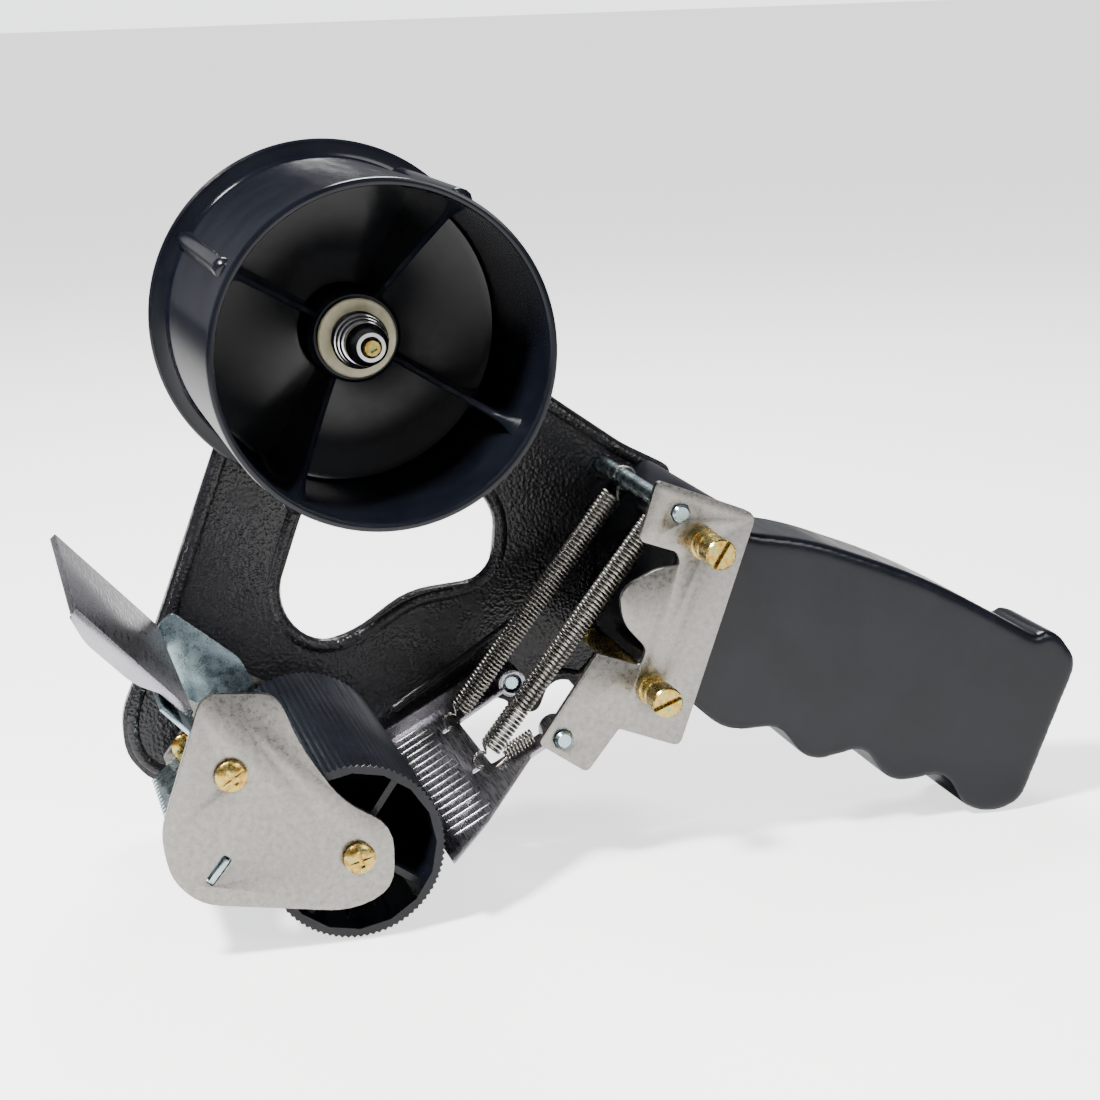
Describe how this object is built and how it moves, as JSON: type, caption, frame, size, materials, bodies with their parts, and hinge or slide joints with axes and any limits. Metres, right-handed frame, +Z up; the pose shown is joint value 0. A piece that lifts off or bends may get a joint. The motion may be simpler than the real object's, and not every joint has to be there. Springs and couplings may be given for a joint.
{
  "type": "packing tape dispenser",
  "caption": "Pistol-grip packing tape dispenser with braked tape drum, ribbed rubbing roller, swinging wiper guard, sprung tongue and steel frame.",
  "frame": {"origin": "middle of the underside of the whole tool as it rests on its roller and grip corner", "axes": "+X from the tape roller towards the grip, +Y from the open side to the frame plate, along the drum axis, +Z up"},
  "size_m": [0.2414, 0.0996, 0.1685],
  "materials": {
    "crinkle_paint": "black crinkle powder coat",
    "black_plastic": "moulded gloss black",
    "nickel_plate": "satin nickel plate",
    "zinc_plate": "blue zinc plate",
    "yellow_zinc": "yellow chromate zinc plate",
    "spring_steel": "bright wire",
    "bright_sheet": "bright rolled sheet",
    "nylon": "natural nylon"
  },
  "bodies": {
    "frame": {"frame_plate": "crinkle_paint", "drum_bushing": "nylon", "axle_bolt": "zinc_plate", "friction_washer": "nylon", "flat_washer": "nickel_plate", "brake_spring": "spring_steel", "lock_collar": "yellow_zinc", "roller_axle": "zinc_plate", "roller_axle_screw": "yellow_zinc", "front_side_plate": "nickel_plate", "far_side_plate": "nickel_plate", "far_side_spacer": "zinc_plate", "roller_spacer": "zinc_plate", "far_side_screw": "yellow_zinc", "blade": "zinc_plate", "guard_pivot": "zinc_plate", "guard_pivot_screw": "yellow_zinc", "tongue_pin_near": "zinc_plate", "tongue_pin_far": "zinc_plate", "spring_rod": "zinc_plate", "rear_bracket": "nickel_plate", "bracket_screw_upper": "yellow_zinc", "bracket_screw_lower": "yellow_zinc", "lower_stud": "yellow_zinc", "handle": "black_plastic", "drum_axle_nut": "zinc_plate"},
    "drum": {"drum_shell": "black_plastic", "drum_core": "black_plastic"},
    "brake_nut": {"brake_nut": "nickel_plate"},
    "roller": {"roller": "black_plastic"},
    "guard": {"guard_bracket": "zinc_plate", "wiper_plate": "bright_sheet", "guard_spring": "spring_steel"},
    "tongue": {"tongue": "bright_sheet", "arm_spring_near": "spring_steel", "arm_spring_far": "spring_steel"},
    "springs": {"tension_spring_near": "spring_steel", "tension_spring_far": "spring_steel"}
  },
  "joints": [
    {"name": "drum_spin", "type": "hinge", "parent": "frame", "child": "drum", "pos_m": [-0.05114, -0.00045, 0.12649], "axis": [0, 1, 0], "continuous": true},
    {"name": "brake_nut_turn", "type": "hinge", "parent": "frame", "child": "brake_nut", "pos_m": [-0.05114, -0.01845, 0.12649], "axis": [0, 1, 0], "range_deg": [-90, 90]},
    {"name": "roller_spin", "type": "hinge", "parent": "frame", "child": "roller", "pos_m": [-0.06414, -0.00645, 0.01989], "axis": [0, 1, 0], "continuous": true},
    {"name": "guard_swing", "type": "hinge", "parent": "frame", "child": "guard", "pos_m": [-0.09044, -0.00545, 0.04169], "axis": [0, 1, 0], "range_deg": [0, 25], "stiffness_Nm_per_rad": 0.06, "springref_deg": -22.92},
    {"name": "tongue_swing", "type": "hinge", "parent": "frame", "child": "tongue", "pos_m": [-0.01104, -0.00445, 0.03269], "axis": [0, -1, 0], "range_deg": [0, 18], "stiffness_Nm_per_rad": 0.3, "springref_deg": -14.32},
    {"name": "spring_swing", "type": "hinge", "parent": "frame", "child": "springs", "pos_m": [0.01856, 0.00555, 0.08339], "axis": [0, -1, 0], "range_deg": [0, 5]}
  ],
  "couplings": [
    {"joint": "spring_swing", "follows": "tongue_swing", "ratio": 0.236}
  ]
}
